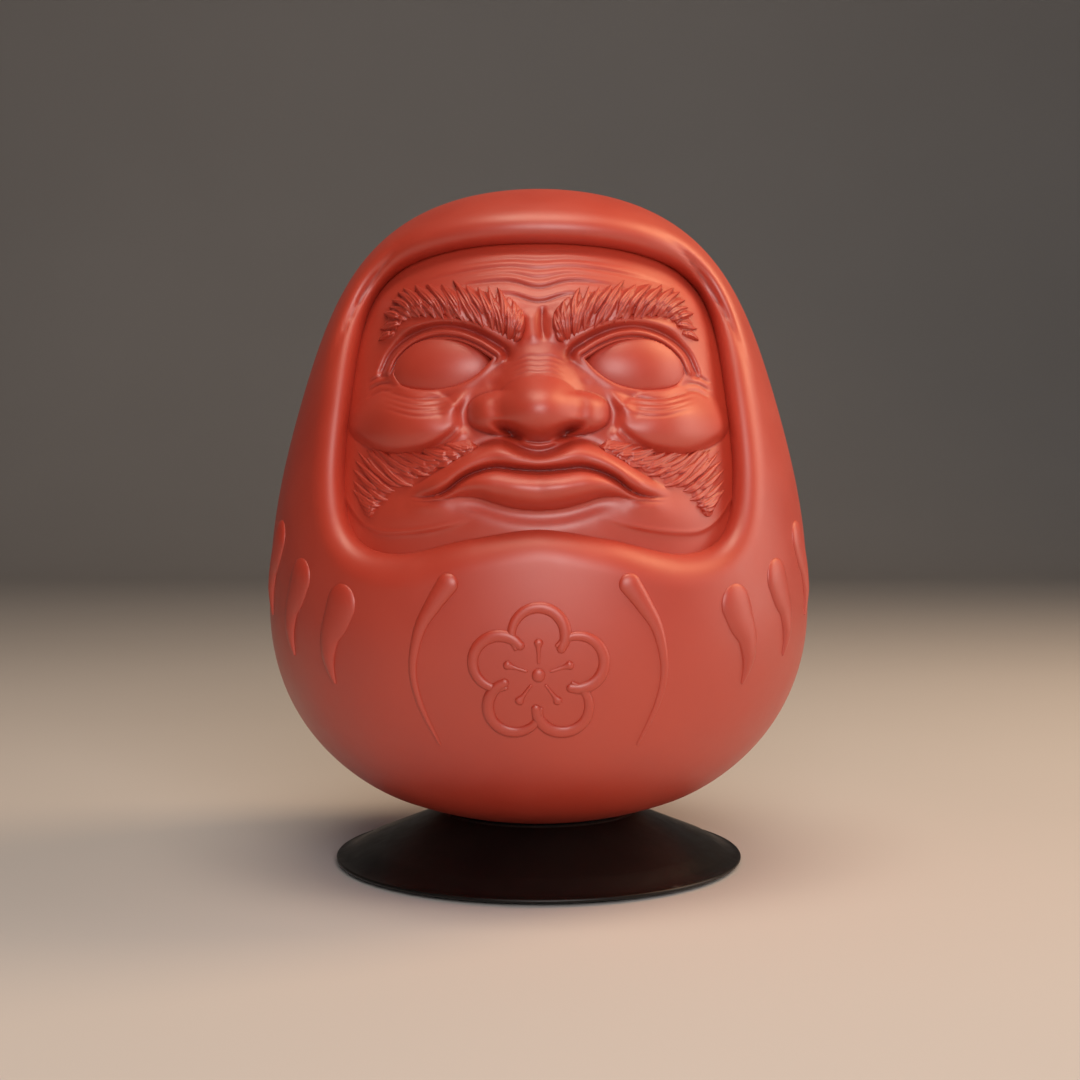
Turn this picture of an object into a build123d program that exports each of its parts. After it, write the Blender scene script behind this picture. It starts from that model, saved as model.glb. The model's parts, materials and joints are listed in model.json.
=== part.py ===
from build123d import *

import os
from math import cos, radians, sin

# A daruma doll that rocks in the seat of a low conical display stand.
#
# Millimetres, +Z up, the doll faces -Y. The origin is the centre of the stand's underside.
# The doll is a hollow two-part shell with a face mask set in its hood opening, raised ornaments on the
# outside and an iron ballast in the foot. Its underside is a sphere, so it rocks and rights itself.

# ---- doll: outer form -------------------------------------------------------------------------
DOLL_HEIGHT = 150.0
BELLY_RADIUS = 64.2  # the widest ring of the body
BELLY_HEIGHT = 51.9  # of that ring above the doll's lowest point
ROCKER_RADIUS = 96.2  # sphere of the underside
ROCKER_HALF_ANGLE = 21.6  # how far up the sphere reaches, seen from its centre
FOOT_Z = 10.0  # the doll's lowest point above the table
FOOT_HANDLE, BELLY_LOW_HANDLE = 5.4, 31.1  # curve handles of the lower side
BELLY_HIGH_HANDLE, CROWN_HANDLE = 47.5, 61.0  # curve handles of the upper side
SHOULDER = (46.0, 100.1)  # middle control point of the upper side

# ---- doll: shells and mask --------------------------------------------------------------------
WALL = 2.6
TONGUE_INSET, TONGUE_REACH = 1.4, 3.0  # seam tongue: its outer face below the surface, its length
TONGUE_GAP = 0.1
MASK_INSET = 7.0  # the mask's plain surface below the body's surface
MASK_WALL = 2.6
MASK_FLANGE = 3.0  # the mask reaches this far behind the hood all round
HOOD_LINER = 2.4  # thickness of the return wall that lines the opening
# right half of the face opening, seen from the front, from its top to its bottom (x, z)
OPENING = [
    (0, 143.4),
    (20, 142.4),
    (33, 138.4),
    (39.4, 129),
    (42, 110),
    (42.8, 91),
    (39.5, 79.2),
    (30, 75.7),
    (14, 79.4),
    (0, 81.7),
]

# ---- doll: features and ornaments ---------------------------------------------------------------
EYE_CENTRE, EYE_SEMI_AXES = (21.4, -37.4, 115.6), (13.0, 7.0, 8.4)
EYE_GAP = 0.08
# mask relief as ellipsoids: centre, semi-axes; a centre off the middle is mirrored
MASK_RELIEF = [
    ((0, -51.5, 105), (8.0, 9.0, 7.5)),
    ((9.6, -48.5, 103.4), (5.4, 6.0, 4.8)),
    ((0, -45.0, 115), (5.0, 5.0, 10.0)),
    ((0, -48.0, 92.5), (22.0, 8.5, 8.5)),
    ((29.5, -36.5, 104), (11.5, 8.0, 9.5)),
]
BROW_INSET, MOUSTACHE_INSET = 3.4, 4.2
ORNAMENT_HEIGHT = 1.1
# flat strokes as a row of discs: x, z, radius
BROW = [(6.5, 120.5, 2.6), (13, 126, 4.2), (22, 130, 5.6), (30, 129.5, 5.4), (35, 125.5, 3.6)]
MOUSTACHE = [(13, 97.8, 1.4), (22, 95.6, 3.4), (31, 93.5, 5.2), (37, 92.0, 4.6), (36.5, 85.5, 1.6)]
BRACKET = [
    (18.7, 70.0, 2.3),
    (21.6, 65.8, 1.8),
    (24.6, 60.4, 1.25),
    (26.1, 52.5, 0.85),
    (24.8, 45.0, 0.65),
    (20.8, 35.8, 0.35),
]
TEARDROP = [
    (-2.3, 7.4, 4.4),
    (-0.6, 3.9, 4.0),
    (1.4, 0.6, 3.1),
    (2.4, -3.0, 2.3),
    (2.5, -6.4, 1.4),
    (1.9, -9.8, 0.5),
]
# each side carries three teardrops: name, turn about the body's axis from the front, height
TEARDROPS = [("front", 43.0, 57.6), ("middle", 57.0, 62.6), ("rear", 70.5, 70.6)]
# the chest carries a plain five-petalled blossom
BLOSSOM_Z, PETAL_PITCH, PETAL_RADIUS, PETAL_LINE = 51.5, 8.4, 5.5, 1.0
PETAL_OVERLAP = 1.5  # the petals' inner ends are open this far inside their pitch
STAMEN_FROM, STAMEN_TO, STAMEN_WIDTH, STAMEN_HEAD, BLOSSOM_EYE = 2.9, 6.4, 0.8, 1.05, 1.5

# ---- doll: ballast ------------------------------------------------------------------------------
BALLAST_TOP_Z = FOOT_Z + 15.0
BALLAST_GAP = 0.3  # between the ballast and the shell
BOSS_X, BOSS_Y, BOSS_RADIUS, BOSS_TOP_Z = 19.0, 14.0, 3.0, FOOT_Z + 11.5
SCREW_RADIUS, SCREW_LENGTH, SCREW_HEAD_RADIUS, SCREW_HEAD_HEIGHT = 1.1, 9.0, 2.4, 1.7
SLOT_WIDTH, SLOT_DEPTH = 0.6, 0.6  # in each ballast screw's head
PILOT_DEPTH = 5.2  # of the hole in each screw post
WASHER_RADIUS, WASHER_THICKNESS = 3.4, 0.6
HOLE_GAP = 0.1  # radial, around a screw's shank

# ---- stand --------------------------------------------------------------------------------------
PAD_RADIUS, PAD_THICKNESS = 46.0, 0.8
RIM_RADIUS, RIM_TOP_Z = 48.8, 1.7
CONE_TOP_RADIUS, CONE_TOP_Z = 23.4, 12.1
CONE_WALL = 1.9
POCKET_RADIUS, POCKET_FLOOR_Z = 22.0, 6.75  # the hollow of the collar, on the hub
PIVOT_RADIUS, PIVOT_GAP, PIVOT_FOOT_Z = 10.0, 0.05, 3.2
CUP_RADIUS, CUP_RIM, CUP_FLOOR_Z, CUP_TOP_Z = 21.7, 0.9, 8.4, 11.3
RING_INNER_RADIUS, RING_OUTER_RADIUS = 16.4, 20.2
SEAT_GAP = 0.3  # between the seat ring and the doll
LIFT_GAP = 0.05  # between faces that only rest on each other
PLATE_RADIUS, PLATE_TOP_Z = 40.0, 2.7
STAND_SCREW_PITCH_RADIUS, STAND_SCREW_TOP_Z = 16.0, 6.0
STAND_SCREW_RADIUS, STAND_SCREW_HEAD_RADIUS, COUNTERSINK_DEPTH = 1.2, 2.5, 1.4

BIG = 200.0
CUT_DEPTH = 80.0  # enough for a straight cut from the front to the body's middle
EDGE_STEPS = 16  # spots along half the opening's edge where a wider outline is worked out


def body(inset):
    """The egg-shaped body with its whole surface moved inwards by inset."""
    centre_z = FOOT_Z + ROCKER_RADIUS
    reach = ROCKER_RADIUS - inset
    half, end = radians(ROCKER_HALF_ANGLE / 2), radians(ROCKER_HALF_ANGLE)
    foot = (0, 0, FOOT_Z + inset)
    middle = (reach * sin(half), 0, centre_z - reach * cos(half))
    edge = (reach * sin(end), 0, centre_z - reach * cos(end))
    # the handles shrink with the inset so that the wall keeps its thickness
    along = FOOT_HANDLE - 0.39 * inset
    handle = (edge[0] + along * cos(end), 0, edge[2] + along * sin(end))
    side, belly_z, top_z = BELLY_RADIUS - inset, FOOT_Z + BELLY_HEIGHT, FOOT_Z + DOLL_HEIGHT - inset
    low = (side, 0, belly_z - BELLY_LOW_HANDLE + 0.47 * inset)
    high = (side, 0, belly_z + BELLY_HIGH_HANDLE - 0.27 * inset)
    shoulder = (SHOULDER[0] - 1.02 * inset, 0, FOOT_Z + SHOULDER[1] + 0.37 * inset)
    crown = (CROWN_HANDLE - 1.13 * inset, 0, top_z)
    belly, top = (side, 0, belly_z), (0, 0, top_z)
    outline = [
        ThreePointArc(foot, middle, edge),
        Bezier(edge, handle, low, belly),
        Bezier(belly, high, shoulder, crown, top),
        Line(top, foot),
    ]
    return revolve(make_face(outline), Axis.Z)


def half_space(front):
    """Everything in front of the seam plane, or behind it."""
    return Pos(0, -BIG / 2 if front else BIG / 2, 0) * Box(BIG, BIG, 2 * BIG)


def seam_band():
    """The slab in front of the seam that the rear shell's tongue reaches into."""
    return Pos(0, -TONGUE_REACH / 2, 0) * Box(BIG, TONGUE_REACH, 2 * BIG)


def front_cut(sketch):
    """A sketch drawn in x and z, pushed from the body's middle out through its front."""
    return extrude(Plane.XZ * sketch, CUT_DEPTH)


def discs_to_stroke(discs):
    """A stroke whose width follows a row of discs (x, z, radius)."""
    stroke = Sketch()
    for (x0, z0, r0), (x1, z1, r1) in zip(discs, discs[1:]):
        first, second = Pos(x0, z0) * Circle(r0), Pos(x1, z1) * Circle(r1)
        stroke += make_hull(first.edges() + second.edges())
    return stroke


def mirror_x(shape):
    return mirror(shape, Plane.YZ)


def ellipsoid(centre, semi_axes):
    return Pos(*centre) * scale(Sphere(1), by=tuple(semi_axes))


def tube(radius, bottom, top, x=0.0, y=0.0):
    """An upright round bar."""
    return Pos(x, y, (bottom + top) / 2) * Cylinder(radius, top - bottom)


def turned(points):
    """A solid turned about Z from an outline of (radius, z) points."""
    return revolve(make_face(Polyline(*[(r, 0, z) for r, z in points], close=True)), Axis.Z)


def four_bosses():
    return [(x, y) for x in (-BOSS_X, BOSS_X) for y in (-BOSS_Y, BOSS_Y)]


def stand_screw_places():
    turns = [radians(90 + 120 * k) for k in range(3)]
    return [(STAND_SCREW_PITCH_RADIUS * cos(t), STAND_SCREW_PITCH_RADIUS * sin(t)) for t in turns]


def opening_outline(grow=0.0):
    """The face opening, with its edge moved outwards by grow."""
    level = [(1, 0), (-1, 0)]
    edge = Spline(*OPENING, tangents=level)
    spots = [k / EDGE_STEPS for k in range(EDGE_STEPS + 1)]
    moved = [edge @ u + grow * Vector(-(edge % u).Y, (edge % u).X) for u in spots]
    right = Spline(*moved, tangents=level)
    return make_face([right, mirror_x(right)])


# ---- doll ---------------------------------------------------------------------------------------
OUTER, INNER = body(0), body(WALL)
MASK_FACE, MASK_BACK = body(MASK_INSET), body(MASK_INSET + MASK_WALL)
OPENING_FACE = opening_outline()


def boss(x, y):
    """A screw post that stands on the inside of the foot."""
    post = tube(BOSS_RADIUS, FOOT_Z, BOSS_TOP_Z, x, y) & OUTER
    pilot = tube(SCREW_RADIUS + HOLE_GAP, BOSS_TOP_Z - PILOT_DEPTH, BOSS_TOP_Z + 1, x, y)
    return post - pilot


def front_shell():
    shell = (OUTER - INNER) & half_space(True)
    shell -= (body(TONGUE_INSET - TONGUE_GAP) - INNER) & seam_band()
    liner = opening_outline(HOOD_LINER) - OPENING_FACE
    shell += (front_cut(liner) & OUTER) - MASK_FACE
    shell -= front_cut(OPENING_FACE)
    for x, y in four_bosses():
        if y < 0:
            shell += boss(x, y)
    return shell


def rear_shell():
    shell = (OUTER - INNER) & half_space(False)
    shell += (body(TONGUE_INSET) - INNER) & seam_band()
    for x, y in four_bosses():
        if y > 0:
            shell += boss(x, y)
    return shell


def eye():
    """A smooth blank dome that fills the mask's eye opening from behind."""
    return ellipsoid(EYE_CENTRE, EYE_SEMI_AXES) - MASK_BACK


def face_mask():
    mask = front_cut(opening_outline(MASK_FLANGE)) & (MASK_FACE - MASK_BACK)
    for (x, y, z), semi_axes in MASK_RELIEF:
        for side in (x, -x) if x else (x,):
            mask += ellipsoid((side, y, z), semi_axes) - MASK_BACK
    socket = ellipsoid(EYE_CENTRE, [a + EYE_GAP for a in EYE_SEMI_AXES])
    return mask - socket - mirror_x(socket)


def on_mask(discs, inset, mask, eye_dome):
    """A raised patch of hair on the mask, in front of its plain surface."""
    patch = (front_cut(discs_to_stroke(discs)) & body(inset)) - MASK_FACE
    return patch - mask - eye_dome


def on_body(discs, turn=0.0, height=0.0):
    """A raised stroke on the outside of the body, turned about its axis and lifted."""
    stroke = Rot(0, 0, turn) * Pos(0, 0, height) * front_cut(discs_to_stroke(discs))
    return (stroke & body(-ORNAMENT_HEIGHT)) - OUTER


def blossom():
    """Five petal outlines, their stamens and the eye in the middle."""
    petals, cores = Sketch(), Sketch()
    for k in range(5):
        turn = Rot(0, 0, 90 + 72 * k)
        petals += turn * Pos(PETAL_PITCH, 0) * Circle(PETAL_RADIUS + PETAL_LINE)
        cores += turn * Pos(PETAL_PITCH, 0) * Circle(PETAL_RADIUS - PETAL_LINE)
    drawing = petals - cores - Circle(PETAL_PITCH - PETAL_OVERLAP)
    for k in range(5):
        head = Pos(STAMEN_TO, 0) * Circle(STAMEN_HEAD)
        middle = (STAMEN_FROM + STAMEN_TO) / 2
        line = Pos(middle, 0) * Rectangle(STAMEN_TO - STAMEN_FROM, STAMEN_WIDTH)
        drawing += Rot(0, 0, 90 + 72 * k) * (head + line)
    drawing += Circle(BLOSSOM_EYE)
    raised = front_cut(Pos(0, BLOSSOM_Z) * drawing)
    return (raised & body(-ORNAMENT_HEIGHT)) - OUTER


def ballast_weight():
    block = body(WALL + BALLAST_GAP) & tube(BIG, 0, BALLAST_TOP_Z)
    for x, y in four_bosses():
        block -= tube(BOSS_RADIUS + BALLAST_GAP, 0, BOSS_TOP_Z + LIFT_GAP, x, y)
        block -= tube(SCREW_RADIUS + HOLE_GAP, 0, BIG, x, y)
    return block


def ballast_washer(x, y):
    ring = tube(WASHER_RADIUS, BALLAST_TOP_Z, BALLAST_TOP_Z + WASHER_THICKNESS, x, y)
    return ring - tube(SCREW_RADIUS + HOLE_GAP, 0, BIG, x, y)


def ballast_screw(x, y):
    seat = BALLAST_TOP_Z + WASHER_THICKNESS
    head = tube(SCREW_HEAD_RADIUS, seat, seat + SCREW_HEAD_HEIGHT, x, y)
    slot = Pos(x, y, seat + SCREW_HEAD_HEIGHT) * Box(2 * SCREW_HEAD_RADIUS, SLOT_WIDTH, 2 * SLOT_DEPTH)
    return head + tube(SCREW_RADIUS, seat - SCREW_LENGTH, seat, x, y) - slot


# ---- stand --------------------------------------------------------------------------------------
def stand_cone():
    """The thin sloping skin, open in the middle where the collar is pressed in."""
    inner_edge_z = CONE_TOP_Z - CONE_WALL
    return turned(
        [
            (PAD_RADIUS, PAD_THICKNESS),
            (RIM_RADIUS, PAD_THICKNESS),
            (RIM_RADIUS, RIM_TOP_Z),
            (CONE_TOP_RADIUS, CONE_TOP_Z),
            (CONE_TOP_RADIUS, inner_edge_z),
        ]
    )


def stand_collar():
    """The plain ring pressed into the cone's middle, round the turning cup."""
    return tube(CONE_TOP_RADIUS, POCKET_FLOOR_Z, CONE_TOP_Z) - tube(POCKET_RADIUS, 0, BIG)


def stand_hub():
    """The thick disc under the collar that bears the cup and takes the screws."""
    hub = tube(CONE_TOP_RADIUS, PLATE_TOP_Z, POCKET_FLOOR_Z) - tube(PIVOT_RADIUS + PIVOT_GAP, 0, BIG)
    for x, y in stand_screw_places():
        hub -= tube(STAND_SCREW_RADIUS + HOLE_GAP, 0, POCKET_FLOOR_Z, x, y)
    return hub


def countersink(x, y, gap):
    """The cone of a sunk screw head, or of its seat when it is widened by gap."""
    head = Cone(STAND_SCREW_HEAD_RADIUS + gap, STAND_SCREW_RADIUS + gap, COUNTERSINK_DEPTH)
    return Pos(x, y, PAD_THICKNESS + COUNTERSINK_DEPTH / 2) * head


def stand_base_plate():
    plate = tube(PLATE_RADIUS, PAD_THICKNESS, PLATE_TOP_Z)
    for x, y in stand_screw_places():
        hole = tube(STAND_SCREW_RADIUS + HOLE_GAP, 0, BIG, x, y)
        plate -= countersink(x, y, HOLE_GAP) + hole
    return plate


def stand_screw(x, y):
    neck = PAD_THICKNESS + COUNTERSINK_DEPTH
    return countersink(x, y, 0) + tube(STAND_SCREW_RADIUS, neck, STAND_SCREW_TOP_Z, x, y)


def seat_cup():
    """The turning seat: a shallow cup on a round spigot."""
    floor = POCKET_FLOOR_Z + LIFT_GAP
    return turned(
        [
            (0, PIVOT_FOOT_Z),
            (PIVOT_RADIUS, PIVOT_FOOT_Z),
            (PIVOT_RADIUS, floor),
            (CUP_RADIUS, floor),
            (CUP_RADIUS, CUP_TOP_Z),
            (CUP_RADIUS - CUP_RIM, CUP_TOP_Z),
            (CUP_RADIUS - CUP_RIM, CUP_FLOOR_Z),
            (0, CUP_FLOOR_Z),
        ]
    )


def seat_ring():
    """The soft ring that the foot sits in, hollowed to the foot's own sphere."""
    bottom = CUP_FLOOR_Z + LIFT_GAP
    ring = tube(RING_OUTER_RADIUS, bottom, FOOT_Z + 5) - tube(RING_INNER_RADIUS, 0, BIG)
    return ring - Pos(0, 0, FOOT_Z + ROCKER_RADIUS) * Sphere(ROCKER_RADIUS + SEAT_GAP)


def many(make, places):
    """One node of several separate, identical solids."""
    return Compound([make(x, y) for x, y in places])


def main():
    mask, right_eye = face_mask(), eye()
    right_brow = on_mask(BROW, BROW_INSET, mask, right_eye)
    right_moustache = on_mask(MOUSTACHE, MOUSTACHE_INSET, mask, right_eye)
    right_bracket = on_body(BRACKET)
    nodes = {
        "front_shell": front_shell(),
        "rear_shell": rear_shell(),
        "face_mask": mask,
        "front_blossom": blossom(),
        "ballast_weight": ballast_weight(),
        "ballast_washers": many(ballast_washer, four_bosses()),
        "ballast_screws": many(ballast_screw, four_bosses()),
        "stand_cone": stand_cone(),
        "stand_collar": stand_collar(),
        "stand_hub": stand_hub(),
        "stand_base_plate": stand_base_plate(),
        "stand_screws": many(stand_screw, stand_screw_places()),
        "stand_foot_pad": tube(PAD_RADIUS, 0, PAD_THICKNESS),
        "seat_cup": seat_cup(),
        "seat_ring": seat_ring(),
    }
    # "left" and "right" are the viewer's, facing the doll
    pairs = {
        "eye": right_eye,
        "eyebrow": right_brow,
        "moustache": right_moustache,
        "bracket_stroke": right_bracket,
    }
    for place, turn, height in TEARDROPS:
        pairs[f"teardrop_{place}"] = on_body(TEARDROP, turn, height)
    for name, shape in pairs.items():
        nodes[f"right_{name}"] = shape
        nodes[f"left_{name}"] = mirror_x(shape)
    os.makedirs("parts", exist_ok=True)
    for name, shape in nodes.items():
        export_step(shape, f"parts/{name}.step")


main()
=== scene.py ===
"""Looks of a daruma doll on its black display stand.

The shells, the face, the hair and the raised ornaments are built here as dense meshes from smooth
formulas. Lengths in the sculpting code are millimetres in the part's own frame: +Z up, the doll faces
-Y, and the origin is the centre of the stand's underside. A "relief" is a height field seen from the
front: how far each point (x, z) of the face stands in front of the mask's plain inner surface.
"""

import json
import math

import bmesh
import bpy
import numpy as np
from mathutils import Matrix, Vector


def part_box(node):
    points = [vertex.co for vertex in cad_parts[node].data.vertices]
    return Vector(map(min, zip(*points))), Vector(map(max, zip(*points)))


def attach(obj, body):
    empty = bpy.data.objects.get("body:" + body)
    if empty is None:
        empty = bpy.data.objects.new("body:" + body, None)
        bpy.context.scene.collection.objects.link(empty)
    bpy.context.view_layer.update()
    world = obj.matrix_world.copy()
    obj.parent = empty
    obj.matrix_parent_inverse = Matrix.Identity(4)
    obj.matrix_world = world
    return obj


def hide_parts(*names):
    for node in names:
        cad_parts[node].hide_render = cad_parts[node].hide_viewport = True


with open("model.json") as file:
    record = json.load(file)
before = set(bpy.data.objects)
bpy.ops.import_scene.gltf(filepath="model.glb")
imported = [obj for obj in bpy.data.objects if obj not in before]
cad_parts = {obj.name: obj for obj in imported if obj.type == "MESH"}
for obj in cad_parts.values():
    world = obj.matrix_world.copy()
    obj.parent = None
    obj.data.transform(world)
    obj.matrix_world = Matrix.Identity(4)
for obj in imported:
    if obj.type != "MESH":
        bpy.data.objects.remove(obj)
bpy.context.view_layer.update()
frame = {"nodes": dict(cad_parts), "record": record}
nodes = frame["nodes"]
MM = 0.001

# ---- driving dimensions (mm) --------------------------------------------------------------------
FOOT_Z = 10.0  # the doll's lowest point
DOLL_HEIGHT = 150.0
BELLY_RADIUS, BELLY_HEIGHT = 64.2, 51.9
ROCKER_RADIUS, ROCKER_HALF_ANGLE = 96.2, math.radians(21.6)
FOOT_HANDLE, BELLY_LOW_HANDLE = 5.4, 31.1
BELLY_HIGH_HANDLE, CROWN_HANDLE = 47.5, 61.0
SHOULDER = (46.0, 100.1)
WALL = 2.6
MASK_INSET = 7.0
RIM_ROLL = 7.2  # how far out from the opening the hood's rounded edge starts
# right half of the face opening from its top to its bottom (x, z)
OPENING = [
    (0, 143.4),
    (20, 142.4),
    (33, 138.4),
    (39.4, 129),
    (42, 110),
    (42.8, 91),
    (39.5, 79.2),
    (30, 75.7),
    (14, 79.4),
    (0, 81.7),
]
MIDDLE_Z = 108.0  # the shells are built as rays from this point of the axis
SHELL_TURNS = 540
FACE_STEP = 0.24
HAIR_STEP = 0.15


# ---- curves -------------------------------------------------------------------------------------
def bezier(points, t):
    """Points on a Bezier curve of any degree."""
    points = np.array(points, float)
    degree = len(points) - 1
    weights = [math.comb(degree, i) * (1 - t) ** (degree - i) * t**i for i in range(degree + 1)]
    return sum(w[:, None] * p for w, p in zip(weights, points))


def smooth_through(points, per_span=10, closed=False):
    """A Catmull-Rom curve through points of any dimension."""
    points = np.array(points, float)
    if closed:
        padded = np.vstack([points[-1], points, points[0], points[1]])
    else:
        padded = np.vstack([2 * points[0] - points[1], points, 2 * points[-1] - points[-2]])
    t = np.linspace(0, 1, per_span, endpoint=False)[:, None]
    spans = []
    for a, b, c, d in zip(padded, padded[1:], padded[2:], padded[3:]):
        cubic = (3 * b - a - 3 * c + d) * t**3
        square = (2 * a - 5 * b + 4 * c - d) * t**2
        spans.append(0.5 * (2 * b + (c - a) * t + square + cubic))
    if not closed:
        spans.append(points[-1:])
    return np.vstack(spans)


def outline_normals(outline):
    ahead = np.gradient(outline, axis=0)
    normals = np.c_[ahead[:, 1], -ahead[:, 0]]
    return normals / np.linalg.norm(normals, axis=1)[:, None]


def body_outline(inset=0.0):
    """Radius and height along the doll's surface, from its lowest point to its crown."""
    angles = np.linspace(0, ROCKER_HALF_ANGLE, 60)
    foot = np.c_[ROCKER_RADIUS * np.sin(angles), ROCKER_RADIUS * (1 - np.cos(angles))]
    ahead = np.array([math.cos(ROCKER_HALF_ANGLE), math.sin(ROCKER_HALF_ANGLE)])
    belly = (BELLY_RADIUS, BELLY_HEIGHT)
    low_handle = (BELLY_RADIUS, BELLY_HEIGHT - BELLY_LOW_HANDLE)
    high_handle = (BELLY_RADIUS, BELLY_HEIGHT + BELLY_HIGH_HANDLE)
    low = bezier([foot[-1], foot[-1] + ahead * FOOT_HANDLE, low_handle, belly], np.linspace(0, 1, 160))
    crown = [(CROWN_HANDLE, DOLL_HEIGHT), (0, DOLL_HEIGHT)]
    high = bezier([belly, high_handle, SHOULDER] + crown, np.linspace(0, 1, 500))
    outline = np.vstack([foot, low[1:], high[1:]]) + (0, FOOT_Z)
    return outline - inset * outline_normals(outline)


BODY, MASK = body_outline(), body_outline(MASK_INSET)


def radius_at(outline, z):
    return np.interp(z, outline[:, 1], outline[:, 0])


def normal_at(x, y, z):
    """The outward normal of the body's surface at points on it."""
    slopes = outline_normals(BODY)
    out = np.interp(z, BODY[:, 1], slopes[:, 0])
    up = np.interp(z, BODY[:, 1], slopes[:, 1])
    around = np.maximum(np.hypot(x, y), 1e-6)
    return np.stack([out * x / around, out * y / around, up], axis=-1)


def front_depth(x, z, outline):
    """How far in front of the axis a surface of revolution lies."""
    return np.sqrt(np.maximum(radius_at(outline, z) ** 2 - x**2, 1.0))


def opening_edge(count):
    """The face opening as count evenly spaced points (x, z), clockwise from its top."""
    left = [(-x, z) for x, z in reversed(OPENING[1:-1])]
    curve = smooth_through(OPENING + left, per_span=24, closed=True)
    curve = np.vstack([curve, curve[:1]])
    lengths = np.r_[0, np.cumsum(np.linalg.norm(np.diff(curve, axis=0), axis=1))]
    places = np.linspace(0, lengths[-1], count, endpoint=False)
    return np.stack([np.interp(places, lengths, curve[:, axis]) for axis in (0, 1)], axis=1)


EDGE = opening_edge(SHELL_TURNS)


# ---- relief tools -------------------------------------------------------------------------------
def ease(t):
    t = np.clip(t, 0, 1)
    return t * t * (3 - 2 * t)


def smooth_max(a, b, softness):
    h = np.clip(0.5 + 0.5 * (a - b) / softness, 0, 1)
    return b + (a - b) * h + softness * h * (1 - h)


def hill(x, z, centre, radii, tilt=0.0):
    """A soft round rise of height one."""
    c, s = math.cos(math.radians(tilt)), math.sin(math.radians(tilt))
    dx, dz = x - centre[0], z - centre[1]
    u, v = (dx * c + dz * s) / radii[0], (dz * c - dx * s) / radii[1]
    return np.exp(-(u * u + v * v))


def dome(x, z, centre, radii, tilt=0.0, fullness=0.5):
    """A round cushion of height one with a definite edge."""
    c, s = math.cos(math.radians(tilt)), math.sin(math.radians(tilt))
    dx, dz = x - centre[0], z - centre[1]
    u, v = (dx * c + dz * s) / radii[0], (dz * c - dx * s) / radii[1]
    return np.maximum(1 - u * u - v * v, 0) ** fullness


def nearest(x, z, line):
    """Distance to a polyline, the place along it from 0 to 1, and the side it is on."""
    best = np.full(x.shape, 1e9)
    place, side = np.zeros(x.shape), np.zeros(x.shape)
    lengths = np.linalg.norm(np.diff(line, axis=0), axis=1)
    starts = np.r_[0, np.cumsum(lengths)]
    for i, (a, b) in enumerate(zip(line, line[1:])):
        step = b - a
        t = np.clip(((x - a[0]) * step[0] + (z - a[1]) * step[1]) / max(lengths[i] ** 2, 1e-9), 0, 1)
        dx, dz = x - a[0] - t * step[0], z - a[1] - t * step[1]
        distance = np.hypot(dx, dz)
        closer = distance < best
        best = np.where(closer, distance, best)
        place = np.where(closer, (starts[i] + t * lengths[i]) / starts[-1], place)
        side = np.where(closer, np.sign(step[0] * dz - step[1] * dx), side)
    return best, place, side


def crest(distance, width):
    """A soft rise of height one across a line."""
    return np.exp(-((distance / width) ** 2))


def ridge(x, z, points, width, height, fade):
    """A raised (or, with a negative height, sunk) line through points that fades at both ends."""
    distance, place, _ = nearest(x, z, smooth_through(points, 8))
    return height * ease(place / fade) * ease((1 - place) / fade) * crest(distance, width)


# ---- the face -----------------------------------------------------------------------------------
# Every list holds the viewer's right half as (x, z); the other half mirrors it. "Forms" are soft hills:
# height, middle, radii, tilt in degrees. "Lines" are ridges: points, width, height, fade at both ends.
EYE_UPPER = [
    (9.8, 117.2), (13.5, 119.6), (17.5, 121.2), (22, 121.6), (26.5, 120.4), (30, 117.7), (31.6, 114.5),
]
EYE_LOWER = [
    (9.8, 117.2), (13, 114.1), (17, 111.8), (21.5, 110.9), (26, 110.9), (29.6, 112.0), (31.6, 114.5),
]
EYE_MIDDLE, EYE_SLANT = (20.6, 115.9), 0.11  # the slant is a slope, downwards to the outside
EYE_HOLE_DEPTH = 5.5
# rolls and creases round the upper half of the eye: height, distance from the eye's edge, width
LID_ROLLS = [(-1.9, 3.1, 0.85), (1.8, 1.6, 0.95), (-0.8, 0.75, 0.25), (0.9, 0.25, 0.5)]
LOWER_LID_ROLL = (0.5, 0.6, 0.9)
BROW_BONE = (
    [(5.6, 120.6), (9.5, 122.4), (13.5, 124.4), (19, 125.3), (25, 125.4), (30.5, 124.4), (34, 121.6)],
    1.5, 1.8, 0.25,
)

BROAD_FORMS = [
    (1.2, (0, 134), (24, 8), 0),  # forehead
    (-2.6, (21, 116), (13, 8), 0),  # eye socket
    (1.0, (0, 118), (7.5, 8), 0),  # root of the nose
    (4.6, (0, 92), (19, 9), 0),  # swell behind the mouth
    (1.6, (18, 91), (11, 5), -28),  # corner of the mouth
    (1.8, (0, 80.5), (24, 4.8), 0),  # chin
    (1.4, (26, 84), (12, 4.5), 0),  # jowl
]
BROW_FORMS = [(3.2, (22, 129.5), (15, 4.6), 8), (1.8, (6, 124.5), (4.5, 5), 40)]
BROW_FULL_AT = 7  # the brows swell from nothing in the middle of the face to full height here

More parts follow.
